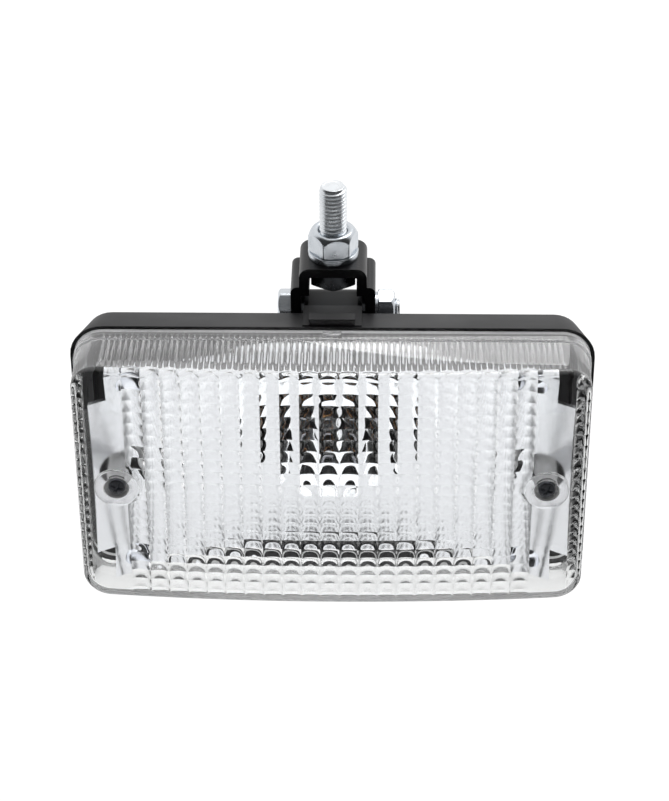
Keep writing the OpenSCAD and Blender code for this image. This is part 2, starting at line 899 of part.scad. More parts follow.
// One J-slot: in from the mouth, then round to the pin
module bayonet_slot(pin_y) {
    slot_w = pin_d + 2*pin_gap;
    near = socket_r - 2;
    reach = socket_r + 3;
    spare = 10;
    rotate([0, slot_turn, 0])
        translate([near, socket_mouth_y - 1, -slot_w/2])
            cube([reach - near, pin_y - socket_mouth_y + 1, slot_w]);
    slab_y(pin_y - slot_w/2, pin_y + slot_w/2)
        polygon(concat([for (a = [-spare:10:slot_turn + spare]) reach*[cos(a), -sin(a)]],
                       [for (a = [slot_turn + spare:-10:-spare]) near*[cos(a), -sin(a)]]));
}

module contact_plunger() {
    color([0.35, 0.2, 0.12])
    in_lamp()
    difference() {
        rod_y(base_d/2, plunger_y, plunger_y + plunger_t);
        rod_y(pin_shank_d/2 + rivet_gap, plunger_y - 1, plunger_y + plunger_t + 1);
    }
}

module contact_pin() {
    color([0.75, 0.6, 0.3])
    in_lamp() {
        rod_y(pin_head_d/2, contact_y, plunger_y);
        rod_y(pin_shank_d/2, contact_y, plunger_y + plunger_t + pin_tail);
    }
}

// A tube of wire that climbs along Y in round turns
module contact_spring() {
    start = plunger_y + plunger_t + spring_wire/2;
    rise = spring_space - seat_t - spring_wire;
    count = spring_turns*spring_steps;
    rings = [for (i = [0:count])
        let (a = 360*i/spring_steps, y = start + rise*i/count)
        [for (k = [0:spring_sides - 1])
            let (b = 360*k/spring_sides, r = spring_r + spring_wire/2*cos(b))
            [r*cos(a), y + spring_wire/2*sin(b), r*sin(a)]]];
    last = count*spring_sides;
    sides = [for (i = [0:count - 1], k = [0:spring_sides - 1])
        let (n = (k + 1)%spring_sides, at = i*spring_sides)
        [at + k, at + n, at + spring_sides + n, at + spring_sides + k]];
    start_cap = [[for (k = [0:spring_sides - 1]) spring_sides - 1 - k]];
    end_cap = [[for (k = [0:spring_sides - 1]) last + k]];
    color([0.75, 0.76, 0.78])
    in_lamp()
        polyhedron(points = [for (ring = rings, p = ring) p],
                   faces = concat(sides, start_cap, end_cap));
}

module socket_board() {
    color([0.45, 0.28, 0.14])
    in_lamp()
    difference() {
        rod_y(boss_bore_r - board_gap, board_y, board_y + board_t);
        rod_y(rivet_d/2 + rivet_gap, board_y - 1, board_y + board_t + 1);
        translate([earth_x, 0, earth_z])
            rod_y(rivet_d/2 + rivet_gap, board_y - 1, board_y + board_t + 1);
        for (side = [-1, 1]) translate([side*board_screw_x, 0, 0])
            rod_y(board_screw_d/2 + screw_hole_gap, board_y - 1, board_y + board_t + 1);
    }
}

module board_screws() {
    color([0.6, 0.6, 0.62])
    in_lamp()
    for (side = [-1, 1]) translate([side*board_screw_x, board_y, 0])
        difference() {
            union() {
                rod_y(board_screw_d/2, 0, board_screw_len);
                rod_y(board_screw_head_d/2, -board_screw_head_h, 0);
            }
            translate([0, -board_screw_head_h, 0])
                cube([board_screw_head_d + 1, 1.2, 0.7], center = true);
        }
}

module live_terminal() {
    back = board_y + board_t;
    color([0.75, 0.6, 0.3])
    in_lamp() {
        rod_y(seat_r, board_y - seat_t, board_y);
        rod_y(rivet_d/2, board_y - seat_t, back + blade_t);
        translate([-live_blade_w/2, back, -live_blade_w/2])
            cube([live_blade_w, blade_t, blade_top_z + live_blade_w/2]);
    }
}

module earth_terminal() {
    back = board_y + board_t;
    front = board_y - socket_flange_t - seat_t;
    color([0.78, 0.78, 0.8])
    in_lamp() {
        translate([earth_x, 0, earth_z]) {
            rod_y(rivet_d/2, front, back + blade_t);
            rod_y(rivet_d/2 + rivet_lip, front, board_y - socket_flange_t);
        }
        translate([earth_x - earth_blade_w/2, back, earth_z - earth_blade_w/2])
            cube([earth_blade_w, blade_t, blade_top_z - earth_z + earth_blade_w/2]);
    }
}

bracket();
stud_bolt();
spring_washer();
mounting_nut();
pivot_bolt();
pivot_nut();
pivot_lock_washer();
friction_washers();
housing();
lens();
lens_gasket();
lens_screws();
screw_seals();
reflector();
bulb_glass();
bulb_base();
bulb_insulator();
bulb_contact();
filament();
filament_posts();
socket_shell();
contact_plunger();
contact_pin();
contact_spring();
socket_board();
board_screws();
live_terminal();
earth_terminal();
cable_grommet();
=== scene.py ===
import json
import math
import bmesh
import bpy
import numpy as np
from mathutils import Matrix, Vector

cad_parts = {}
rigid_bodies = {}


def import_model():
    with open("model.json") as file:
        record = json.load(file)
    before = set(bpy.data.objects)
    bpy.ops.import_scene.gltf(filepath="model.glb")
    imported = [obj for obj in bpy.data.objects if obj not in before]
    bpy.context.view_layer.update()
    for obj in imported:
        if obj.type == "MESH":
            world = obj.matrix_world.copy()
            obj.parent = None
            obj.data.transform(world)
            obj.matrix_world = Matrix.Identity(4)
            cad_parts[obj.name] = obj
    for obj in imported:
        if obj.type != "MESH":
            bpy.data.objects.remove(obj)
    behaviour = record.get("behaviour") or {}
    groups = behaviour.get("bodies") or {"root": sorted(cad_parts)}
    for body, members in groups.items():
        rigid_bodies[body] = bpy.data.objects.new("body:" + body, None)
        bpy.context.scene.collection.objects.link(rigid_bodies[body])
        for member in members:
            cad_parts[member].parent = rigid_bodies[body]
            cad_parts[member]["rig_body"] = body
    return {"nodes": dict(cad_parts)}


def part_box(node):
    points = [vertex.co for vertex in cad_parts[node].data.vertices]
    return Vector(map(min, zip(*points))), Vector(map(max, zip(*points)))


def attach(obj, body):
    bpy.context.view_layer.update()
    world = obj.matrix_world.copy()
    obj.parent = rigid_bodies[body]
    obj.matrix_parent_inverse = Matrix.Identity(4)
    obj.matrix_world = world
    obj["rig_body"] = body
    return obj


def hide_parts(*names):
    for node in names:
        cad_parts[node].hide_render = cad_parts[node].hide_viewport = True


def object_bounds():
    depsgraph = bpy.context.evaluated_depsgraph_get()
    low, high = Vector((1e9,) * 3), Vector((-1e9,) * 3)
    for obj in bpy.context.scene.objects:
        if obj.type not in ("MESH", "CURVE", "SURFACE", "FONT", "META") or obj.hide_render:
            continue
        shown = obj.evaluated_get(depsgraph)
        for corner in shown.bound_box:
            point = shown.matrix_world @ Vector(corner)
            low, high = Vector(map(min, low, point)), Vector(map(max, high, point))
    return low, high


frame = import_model()
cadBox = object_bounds()
nodes = frame["nodes"]
mm = 0.001
lensLow, lensHigh = [np.array(c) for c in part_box("lens")]
lampOrigin = np.array([0.0, lensHigh[1], (lensLow[2] + lensHigh[2])/2])   # middle of the lens's back edge
print("frame loaded:", len(nodes), "nodes")


def addObject(name, data):
    thing = bpy.data.objects.new(name, data)
    bpy.context.scene.collection.objects.link(thing)
    return thing


# A closed mesh of points in metres. faceSets holds one array of corner numbers for each corner count.
def makeMesh(name, points, faceSets, body, material):
    mesh = bpy.data.meshes.new(name)
    faceSets = [np.asarray(f, dtype=np.int32) for f in faceSets if len(f)]
    loops = np.concatenate([f.ravel() for f in faceSets])
    counts = np.concatenate([np.full(len(f), f.shape[1], np.int32) for f in faceSets])
    starts = np.concatenate([[0], np.cumsum(counts)[:-1]]).astype(np.int32)
    mesh.vertices.add(len(points))
    mesh.vertices.foreach_set("co", np.asarray(points, np.float32).ravel())
    mesh.loops.add(len(loops))
    mesh.loops.foreach_set("vertex_index", loops)
    mesh.polygons.add(len(counts))
    mesh.polygons.foreach_set("loop_start", starts)
    mesh.update(calc_edges=True)
    mesh.validate()
    bm = bmesh.new()
    bm.from_mesh(mesh)
    bmesh.ops.recalc_face_normals(bm, faces=bm.faces)
    bm.to_mesh(mesh)
    bm.free()
    mesh.polygons.foreach_set("use_smooth", np.ones(len(mesh.polygons), bool))
    mesh.materials.append(material)
    piece = addObject(name, mesh)
    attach(piece, body)
    return piece


# An edge is sharp where its two ends share a bit of flags.
def markCreases(piece, flags):
    mesh = piece.data
    ends = np.empty(len(mesh.edges)*2, np.int32)
    mesh.edges.foreach_get("vertices", ends)
    ends = ends.reshape(-1, 2)
    sharp = (flags[ends[:, 0]] & flags[ends[:, 1]]) != 0
    layer = mesh.attributes.get("sharp_edge") or mesh.attributes.new("sharp_edge", "BOOLEAN", "EDGE")
    layer.data.foreach_set("value", sharp)


# Quads between neighbouring points of a grid, numbered row after row.
def gridFaces(rows, columns):
    i, j = np.meshgrid(np.arange(rows - 1), np.arange(columns - 1), indexing="ij")
    a = (i*columns + j).ravel()
    return np.stack([a, a + columns, a + columns + 1, a + 1], axis=1)


# Quads between two closed rings of count points that start at the numbers first and second.
def ringFaces(first, second, count):
    k = np.arange(count)
    n = (k + 1) % count
    return np.stack([first + k, first + n, second + n, second + k], axis=1)


# Quads between the rows of rows[row, column, xyz]. The last row meets the first if closed; otherwise each
# end gets a cap of triangles to its middle.
def stackRings(rows, closed=False):
    count, columns = rows.shape[:2]
    pairs = [(k, k + 1) for k in range(count - 1)] + ([(count - 1, 0)] if closed else [])
    quads = np.concatenate([ringFaces(a*columns, b*columns, columns) for a, b in pairs])
    points = rows.reshape(-1, 3)
    if closed:
        return points, [quads]
    k = np.arange(columns)
    n = (k + 1) % columns
    last = (count - 1)*columns
    foot = np.stack([n, k, np.full(columns, len(points))], axis=1)
    top = np.stack([last + k, last + n, np.full(columns, len(points) + 1)], axis=1)
    middles = [rows[0].mean(axis=0), rows[-1].mean(axis=0)]
    return np.concatenate([points, middles]), [quads, np.concatenate([foot, top])]


merging = dict(distance=2e-6, flatAngle=0.6, easeSteps=2)


# A merged copy of a CAD node, smooth up to an angle in degrees, with its sharper edges eased by bevel metres.
def copyNode(node, name, material, angle, bevel=0.0, s=merging):
    source = nodes[node]
    mesh = source.data.copy()
    mesh.name = name
    bm = bmesh.new()
    bm.from_mesh(mesh)
    bmesh.ops.remove_doubles(bm, verts=bm.verts, dist=s["distance"])
    bmesh.ops.dissolve_limit(bm, angle_limit=math.radians(s["flatAngle"]), verts=bm.verts, edges=bm.edges,
                             delimit=set())
    bmesh.ops.recalc_face_normals(bm, faces=bm.faces)
    for e in bm.edges:
        e.smooth = len(e.link_faces) == 2 and e.calc_face_angle(0) < math.radians(angle)
    for f in bm.faces:
        f.smooth = True
    bm.to_mesh(mesh)
    bm.free()
    mesh.materials.clear()
    mesh.materials.append(material)
    piece = addObject(name, mesh)
    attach(piece, source["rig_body"])
    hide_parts(node)
    if bevel:
        ease = piece.modifiers.new("ease", "BEVEL")
        ease.width = bevel
        ease.segments = s["easeSteps"]
        ease.limit_method = "ANGLE"
        ease.angle_limit = math.radians(angle)
        ease.harden_normals = True
        ease.use_clamp_overlap = True
    return piece


def newGroup(name, inputs, outputs):
    group = bpy.data.node_groups.new(name, "ShaderNodeTree")
    for label, kind, value in inputs:
        socket = group.interface.new_socket(label, in_out="INPUT", socket_type=kind)
        socket.default_value = value
    for label, kind in outputs:
        group.interface.new_socket(label, in_out="OUTPUT", socket_type=kind)
    return group, group.nodes.new("NodeGroupInput"), group.nodes.new("NodeGroupOutput")


def setOrLink(tree, socket, value):
    if isinstance(value, (int, float)):
        socket.default_value = value
    else:
        tree.links.new(value, socket)


# A Math node on two inputs, each a socket or a number.
def math2(tree, operation, first, second, clamp=False):
    node = tree.nodes.new("ShaderNodeMath")
    node.operation = operation
    node.use_clamp = clamp
    setOrLink(tree, node.inputs[0], first)
    setOrLink(tree, node.inputs[1], second)
    return node.outputs[0]


# A Map Range node from one span of numbers to another.
def mapSpan(tree, value, low, high, toLow=0.0, toHigh=1.0, smooth=False):
    node = tree.nodes.new("ShaderNodeMapRange")
    node.interpolation_type = "SMOOTHSTEP" if smooth else "LINEAR"
    for label, number in (("Value", value), ("From Min", low), ("From Max", high),
                          ("To Min", toLow), ("To Max", toHigh)):
        setOrLink(tree, node.inputs[label], number)
    return node.outputs["Result"]


def pickBy(tree, factor, first, second):
    mix = tree.nodes.new("ShaderNodeMix")
    for label, value in (("Factor", factor), ("A", first), ("B", second)):
        tree.links.new(value, mix.inputs[label])
    return mix.outputs["Result"]


def splitAxes(tree, place):
    axes = tree.nodes.new("ShaderNodeSeparateXYZ")
    tree.links.new(place, axes.inputs[0])
    return axes.outputs


# Noise on Object coordinates, at the group's own Scale.
def addNoise(group, gin, detail):
    noise = group.nodes.new("ShaderNodeTexNoise")
    noise.inputs["Detail"].default_value = detail
    coords = group.nodes.new("ShaderNodeTexCoord")
    group.links.new(coords.outputs["Object"], noise.inputs["Vector"])
    group.links.new(gin.outputs["Scale"], noise.inputs["Scale"])
    return noise.outputs["Fac"]


# Moulded grain: fine noise as a bump, Depth metres high.
def buildGrain():
    group, gin, gout = newGroup("mouldGrain",
        [("Scale", "NodeSocketFloat", 2500.0), ("Depth", "NodeSocketFloat", 0.00004)],
        [("Normal", "NodeSocketVector")])
    bump = group.nodes.new("ShaderNodeBump")
    bump.inputs["Strength"].default_value = 1.0
    group.links.new(addNoise(group, gin, 2.0), bump.inputs["Height"])
    group.links.new(gin.outputs["Depth"], bump.inputs["Distance"])
    group.links.new(bump.outputs["Normal"], gout.inputs["Normal"])
    return group


# Slow changes over the surface, between Low and High.
def buildPatches():
    group, gin, gout = newGroup("slowPatches",
        [("Scale", "NodeSocketFloat", 60.0), ("Low", "NodeSocketFloat", 0.4), ("High", "NodeSocketFloat", 0.6)],
        [("Value", "NodeSocketFloat")])
    noise = addNoise(group, gin, 4.0)    # it seldom leaves 0.3 to 0.7
    group.links.new(mapSpan(group, noise, 0.3, 0.7, gin.outputs["Low"], gin.outputs["High"]), gout.inputs["Value"])
    return group


mouldGrain = buildGrain()
slowPatches = buildPatches()


def placeGroup(tree, group, **values):
    node = tree.nodes.new("ShaderNodeGroup")
    node.node_tree = group
    for label, value in values.items():
        node.inputs[label].default_value = value
    return node.outputs[0]


def newMaterial(name, **values):
    material = bpy.data.materials.new(name)
    material.use_nodes = True
    shader = material.node_tree.nodes["Principled BSDF"]
    for label, value in values.items():
        shader.inputs[socketNames[label]].default_value = value
    return material, shader


socketNames = dict(colour="Base Color", metallic="Metallic", specular="Specular IOR Level", roughness="Roughness",
                   ior="IOR", transmission="Transmission Weight")
scales = dict(patch=60.0, tint=150.0)    # of the roughness patches and of the second colour


# An opaque finish: plain values on the shader's own sockets, roughness, second colour and grain from the groups.
def finish(name, look, s=scales):
    colour = (*look["colour"], 1)
    material, shader = newMaterial(name, colour=colour, metallic=look.get("metallic", 0), ior=1.5,
                                   specular=look.get("specular", 0.5))
    tree = material.node_tree
    low, high = look["roughness"]
    patches = placeGroup(tree, slowPatches, Scale=look.get("patchScale", s["patch"]), Low=low, High=high)
    tree.links.new(patches, shader.inputs["Roughness"])
    if "tint" in look:
        mix = tree.nodes.new("ShaderNodeMix")
        mix.data_type = "RGBA"
        mix.inputs[6].default_value = colour    # sockets 6 and 7 are its colours A and B
        mix.inputs[7].default_value = (*look["tint"], 1)
        tree.links.new(placeGroup(tree, slowPatches, Scale=s["tint"], Low=0, High=1), mix.inputs[0])
        tree.links.new(mix.outputs[2], shader.inputs["Base Color"])
    if "grainDepth" in look:
        grain = placeGroup(tree, mouldGrain, Scale=look["grainScale"], Depth=look["grainDepth"])
        tree.links.new(grain, shader.inputs["Normal"])
    return material


looks = {
    "housingBlack": dict(colour=(0.008, 0.008, 0.009), tint=(0.012, 0.012, 0.014), roughness=(0.45, 0.55),
                         grainScale=2600, grainDepth=0.00003),
    "bracketBlack": dict(colour=(0.004, 0.004, 0.005), tint=(0.008, 0.008, 0.01), roughness=(0.28, 0.4),
                         specular=0.4, grainScale=900, grainDepth=0.00004),
    "zincSteel": dict(colour=(0.72, 0.75, 0.78), tint=(0.62, 0.66, 0.71), metallic=1, roughness=(0.16, 0.3),
                      patchScale=300, grainScale=2400, grainDepth=0.000012),
    "zincThread": dict(colour=(0.88, 0.9, 0.92), tint=(0.8, 0.83, 0.86), metallic=1, roughness=(0.24, 0.36),
                       patchScale=300),
    "darkZinc": dict(colour=(0.34, 0.35, 0.38), tint=(0.24, 0.25, 0.28), metallic=1, roughness=(0.16, 0.24),
                     patchScale=300, grainScale=1500, grainDepth=0.00001),
    "brightDish": dict(colour=(0.87, 0.88, 0.905), metallic=1, roughness=(0.16, 0.19), patchScale=40),
    "sealRubber": dict(colour=(0.02, 0.02, 0.02), roughness=(0.6, 0.8), grainScale=1200, grainDepth=0.00003),
    # brass and tinned steel are darkened far below their own colours, with reddish brown tints: painted shade for
    # the inside of the lamp behind the lens
    "brassPaintedShade": dict(colour=(0.3, 0.17, 0.07), tint=(0.2, 0.1, 0.05), metallic=1, roughness=(0.25, 0.4)),
    "tinnedSteelPaintedShade": dict(colour=(0.16, 0.15, 0.15), tint=(0.1, 0.08, 0.08), metallic=1, roughness=(0.25, 0.4)),
    "phenolic": dict(colour=(0.12, 0.045, 0.02), tint=(0.08, 0.03, 0.015), roughness=(0.4, 0.55)),
    "insulator": dict(colour=(0.02, 0.02, 0.03), tint=(0.03, 0.03, 0.045), roughness=(0.15, 0.25)),
    "tungsten": dict(colour=(0.3, 0.3, 0.32), tint=(0.22, 0.22, 0.24), metallic=1, roughness=(0.3, 0.5)),
}
clearLooks = {
    "clearLens": dict(colour=(0.985, 0.99, 0.99, 1), roughness=0.0, ior=1.49, transmission=1.0),
    "lensWall": dict(colour=(0.97, 0.972, 0.98, 1), roughness=0.0, ior=1.49, transmission=0.82),
    "lensSeat": dict(colour=(0.98, 0.982, 0.985, 1), roughness=0.3, ior=1.49, transmission=0.05),
    "lensLand": dict(colour=(1.0, 1.0, 1.0, 1), roughness=0.22, ior=1.49, transmission=1.0),
    "bulbGlass": dict(colour=(0.98, 0.985, 0.985, 1), roughness=0.0, ior=1.15, transmission=1.0),
}
mats = {name: finish(name, look) for name, look in looks.items()}
mats.update((name, newMaterial(name, **look)[0]) for name, look in clearLooks.items())

nodeFinish = {
    "bracket": "bracketBlack", "stud_bolt": "zincSteel", "spring_washer": "zincSteel",
    "mounting_nut": "zincSteel", "pivot_bolt": "zincSteel", "pivot_nut": "zincSteel",
    "pivot_lock_washer": "zincSteel", "friction_washers": "zincSteel", "housing": "housingBlack",
    "lens": "clearLens", "lens_gasket": "sealRubber", "lens_screws": "darkZinc", "screw_seals": "sealRubber",
    "reflector": "brightDish", "bulb_glass": "bulbGlass", "bulb_base": "brassPaintedShade",
    "bulb_insulator": "insulator", "bulb_contact": "tinnedSteelPaintedShade", "filament": "tungsten",
    "filament_posts": "tungsten", "socket_shell": "tinnedSteelPaintedShade", "contact_plunger": "phenolic",
    "contact_pin": "brassPaintedShade", "contact_spring": "tinnedSteelPaintedShade", "socket_board": "phenolic",
    "board_screws": "zincSteel", "live_terminal": "brassPaintedShade", "earth_terminal": "tinnedSteelPaintedShade",
    "cable_grommet": "sealRubber",
}
for node, look in nodeFinish.items():
    nodes[node].data.materials.clear()
    nodes[node].data.materials.append(mats[look])
print("materials made:", len(mats))


# Sizes of the lens in mm, from the middle of its back edge.
lens = dict(halfWide=74.0, halfHigh=40.8, corner=8.0, depth=19.4, bulge=3.5, wall=2.2, sideWall=1.3,
            edgeRadius=1.6, edgeSteps=5, fillet=0.9, filletSteps=4, seatGap=0.02,
            # pillows: columns from side to side, rows up and down from the knee
            columnWide=5.6, columnShift=-0.6, columnSteps=8, knee=-2.1, rowUp=3.98, upSteps=7,
            rowDown=3.22, downSteps=6, edgeShare=0.09, radiusX=5.0, radiusZ=7.0, sideFade=0.9,
            # plain strips beside the wells
            plainFrom=58.8, plainTo=70.0, landLow=-21.5, landHigh=26.0,
            # flange and tab
            flange=4.6, flangeOut=0.6, flangeFillet=0.35, tabWide=5.5, tabLong=2.2, tabBack=0.9, tabRise=0.35,
            tabSink=0.6, tabEase=0.15,
            # flutes on the inner walls
            fluteDepth=0.7, fluteRise=0.2, fluteTop=1.633, fluteSide=3.22, fluteBack=5.2, fluteStart=0.25,
            grooveRib=0.35, straightEnd=0.08, fine=3,
            # screw wells: block and reach count grid lines from a well's middle
            wellX=62.3, wellBlock=4, wellReach=11, wellSpread=0.7, wellTube=3.3, wellBore=3.5, wellRing=6.5,
            wellRise=0.6, wellDepth=2.4, wellClear=6.8, wellBlend=0.8, screwHole=1.9)
clear, wall, seat, land = range(4)    # material slots of the lens
creases = dict(column=1, row=2, groove=4, flangeBack=8, wallBack=16, wellIn=32, wellOut=64)


# The outer face in plan: an arc through the middle, bulge in front of the sides.
def frontFace(x, s=lens):
    radius = (s["halfWide"]**2 + s["bulge"]**2)/(2*s["bulge"])
    return -(s["depth"] + s["bulge"]) + radius - np.sqrt(radius**2 - x**2)


# As many lines from each border to the next, the first and last of them close to the borders.
def spread(borders, steps, edge=lens["edgeShare"]):
    t = np.concatenate([[0], np.linspace(edge, 1 - edge, steps - 1)])
    low, high = borders[:-1, None], borders[1:, None]
    return np.append((low + (high - low)*t).ravel(), borders[-1])


# Grid lines of the pillows in X and Z, and which of them are borders between pillows.
def lensLines(s=lens):
    inner = s["halfWide"] - s["sideWall"] - s["fillet"]
    first = math.ceil((-inner - s["columnShift"])/s["columnWide"] - 0.5)
    last = math.floor((inner - s["columnShift"])/s["columnWide"] - 0.5)
    borders = s["columnShift"] + (np.arange(first, last + 1) + 0.5)*s["columnWide"]
    x = spread(np.concatenate([[-inner], borders, [inner]]), s["columnSteps"])
    innerZ = s["halfHigh"] - s["sideWall"] - s["fillet"]
    up = s["knee"] + np.arange(0, (innerZ - s["knee"])/s["rowUp"])*s["rowUp"]
    down = s["knee"] - np.arange(0, (innerZ + s["knee"])/s["rowDown"])*s["rowDown"]
    zUp = spread(np.append(up, innerZ), s["upSteps"])
    zDown = -spread(np.append(-down, innerZ), s["downSteps"])
    z = np.concatenate([zDown[::-1], zUp[1:]])
    edgeX, edgeZ = np.zeros(len(x), bool), np.zeros(len(z), bool)
    edgeX[::s["columnSteps"]] = True
    edgeZ[:len(zDown)] = (np.arange(len(zDown)) % s["downSteps"] == 0)[::-1]
    edgeZ[len(zDown) - 1:] = np.arange(len(zUp)) % s["upSteps"] == 0
    return x, z, edgeX, edgeZ


# Each pillow is a shallow dome: (half size squared - distance squared)/(2 radius), summed over X and Z, where
# the Z part fades towards the pillow's sides.
def pillowHeight(x, z, s=lens):
    wide = s["columnWide"]
    u = (np.mod((x - s["columnShift"])/wide + 0.5, 1) - 0.5)*wide
    high = np.where(z > s["knee"], s["rowUp"], s["rowDown"])
    v = (np.mod((z - s["knee"])/high, 1) - 0.5)*high
    fade = 1 - s["sideFade"]*(2*u/wide)**2
    height = (wide**2/4 - u**2)/(2*s["radiusX"]) + fade*(high**2/4 - v**2)/(2*s["radiusZ"])
    column = np.abs(x - u)
    height[(column > s["plainFrom"]) & (column < s["plainTo"])] = 0
    return height


def smoothStep(t):
    t = np.clip(t, 0, 1)
    return t*t*(3 - 2*t)


# The lens is one closed skin: a grid for the outer face and one for the inner face, each with its square
# corners laid onto quarter discs, joined by closed rings round the outline and down each screw well.
def buildLens(s=lens):
    x, z, edgeX, edgeZ = lensLines()
    gx, gz = np.meshgrid(x, z, indexing="ij")
    nx, nz = gx.shape
    inRadius = s["corner"] - s["sideWall"] - s["fillet"]
    baseX, baseZ = s["halfWide"] - s["corner"], s["halfHigh"] - s["corner"]
    sx = np.clip((np.abs(gx) - baseX)/inRadius, 0, 1)
    sz = np.clip((np.abs(gz) - baseZ)/inRadius, 0, 1)
    ux = np.sign(gx)*sx*np.sqrt(1 - sz**2/2)
    uz = np.sign(gz)*sz*np.sqrt(1 - sx**2/2)
    bx = np.sign(gx)*np.minimum(np.abs(gx), baseX)
    bz = np.sign(gz)*np.minimum(np.abs(gz), baseZ)

    wellColumns = [int(np.argmin(np.abs(x - side*s["wellX"]))) for side in (-1, 1)]
    wellRow = int(np.argmin(np.abs(z)))
    block, reach = s["wellBlock"], s["wellReach"]

    # bends the square of grid lines about each well into circles, the innermost of the given radius
    def roundWells(px, pz, radius):
        px, pz = px.copy(), pz.copy()
        for side, i0 in zip((-1, 1), wellColumns):
            di = np.arange(nx)[:, None] - i0 + np.zeros((1, nz))
            dj = np.arange(nz)[None, :] - wellRow + np.zeros((nx, 1))
            m = np.maximum(np.abs(di), np.abs(dj))
            near = (m <= reach) & (m > 0)
            ni, nj = di[near]/m[near], dj[near]/m[near]
            cx = ni*np.sqrt(1 - nj**2/2)
            cz = nj*np.sqrt(1 - ni**2/2)
            length = np.sqrt(cx**2 + cz**2)
            part = np.clip((m[near] - block)/(reach - block), 0, 1)
            ring = radius + part*(s["wellSpread"]*reach - radius)
            w = smoothStep(part)
            px[near] = (1 - w)*(side*s["wellX"] + ring*cx/length) + w*px[near]
            pz[near] = (1 - w)*(ring*cz/length) + w*pz[near]
        return px, pz

    # outer and inner front faces
    outRadius = s["corner"] - s["edgeRadius"]
    outX, outZ = roundWells(bx + outRadius*ux, bz + outRadius*uz, s["wellRing"] + 0.1)
    outY = frontFace(outX)
    inX, inZ = roundWells(bx + inRadius*ux, bz + inRadius*uz, s["wellTube"])
    height = pillowHeight(inX, inZ)
    for side in (-1, 1):
        away = np.hypot(inX - side*s["wellX"], inZ)
        height *= smoothStep((away - s["wellClear"])/s["wellBlend"])
    inY = frontFace(inX) + s["wall"] + height

    points = [np.stack([outX, outY, outZ], -1).reshape(-1, 3), np.stack([inX, inY, inZ], -1).reshape(-1, 3)]
    borders = edgeX[:, None]*creases["column"] + edgeZ[None, :]*creases["row"]
    flags = [np.zeros(nx*nz, np.int64), borders.astype(np.int64).ravel()]
    quads = gridFaces(nx, nz)
    qi, qj = np.divmod(quads[:, 0], nz)
    hole = np.zeros(len(quads), bool)
    for i0 in wellColumns:
        hole |= (qi >= i0 - block) & (qi < i0 + block) & (qj >= wellRow - block) & (qj < wellRow + block)
    quads = quads[~hole]
    inStart = nx*nz
    faces = [quads, quads[:, ::-1] + inStart]
    # the inner face is slightly rough on the plain strips beside the wells
    midX, midZ = np.abs(inX.ravel()[quads].mean(1)), inZ.ravel()[quads].mean(1)
    strip = (midX > s["plainFrom"]) & (midX < s["plainTo"]) & (midZ > s["landLow"]) & (midZ < s["landHigh"])
    kinds = [clear, np.where(strip, land, clear)]
    tris, triKinds = [], []
    at = 2*nx*nz

    # adds a ring of points and gives its numbers
    def addRing(px, py, pz, bits):
        nonlocal at
        points.append(np.stack([px, py + 0*px, pz], axis=1))
        flags.append(np.zeros(len(px), np.int64) + bits)
        at += len(px)
        return np.arange(at - len(px), at)

    # the outline, walked once round the grid
    i = np.concatenate([np.arange(nx - 1), np.full(nz - 1, nx - 1),
                        np.arange(nx - 1, 0, -1), np.zeros(nz - 1, int)])
    j = np.concatenate([np.zeros(nx - 1, int), np.arange(nz - 1),
                        np.full(nx - 1, nz - 1), np.arange(nz - 1, 0, -1)])
    count = len(i)
    rim = i*nz + j
    rbx, rbz, rnx, rnz = bx[i, j], bz[i, j], ux[i, j], uz[i, j]
    norm = np.hypot(rnx, rnz)
    rnx, rnz = rnx/norm, rnz/norm

    def stitch(firstIds, secondIds, kind):
        faces.append(np.stack([firstIds, np.roll(firstIds, -1), np.roll(secondIds, -1), secondIds], axis=1))
        kinds.append(kind)
        return secondIds

    # outer wall: a rounded edge, then straight down to the flange and its back
    previous = rim
    faceY = frontFace(rbx + outRadius*rnx)
    for a in np.linspace(0, math.pi/2, s["edgeSteps"] + 1)[1:]:
        r = s["corner"] - s["edgeRadius"]*(1 - math.sin(a))
        y = faceY + s["edgeRadius"]*(1 - math.cos(a))
        previous = stitch(previous, addRing(rbx + r*rnx, y, rbz + r*rnz, 0), clear)
    flangeY, flangeR, fillet = -s["flange"], s["corner"] + s["flangeOut"], s["flangeFillet"]
    for r, y, bits in ((s["corner"], flangeY - 0.3, 0), (s["corner"] + 0.08, flangeY - 0.08, 0),
                       (flangeR - fillet, flangeY, 0), (flangeR - 0.1, flangeY + 0.1, 0),
                       (flangeR, flangeY + fillet, 0), (flangeR, -s["seatGap"], creases["flangeBack"])):
        ids = addRing(rbx + r*rnx, np.full(count, y), rbz + r*rnz, bits)
        previous = stitch(previous, ids, np.where(rnz < 0.5, clear, wall))
    backOuter = previous

    # inner walls: finer rings, pushed in by grooves between half-round ribs, rib = sqrt(1 - (2 phase - 1)^2)
    fine = s["fine"]
    part = np.arange(count*fine)/fine
    lo = np.floor(part).astype(int)
    hi = (lo + 1) % count
    f = part - lo
    fbx, fbz = rbx[lo]*(1 - f) + rbx[hi]*f, rbz[lo]*(1 - f) + rbz[hi]*f
    fnx, fnz = rnx[lo]*(1 - f) + rnx[hi]*f, rnz[lo]*(1 - f) + rnz[hi]*f
    norm = np.hypot(fnx, fnz)
    fnx, fnz = fnx/norm, fnz/norm
    along = np.where(np.abs(fnz) > np.abs(fnx), fbx/s["fluteTop"], (fbz - s["knee"])/s["fluteSide"])
    phase = np.mod(along, 1)
    rib = np.sqrt(1 - (2*phase - 1)**2)
    groove = rib < s["grooveRib"]
    innerY = inY[i, j]
    fy = innerY[lo]*(1 - f) + innerY[hi]*f

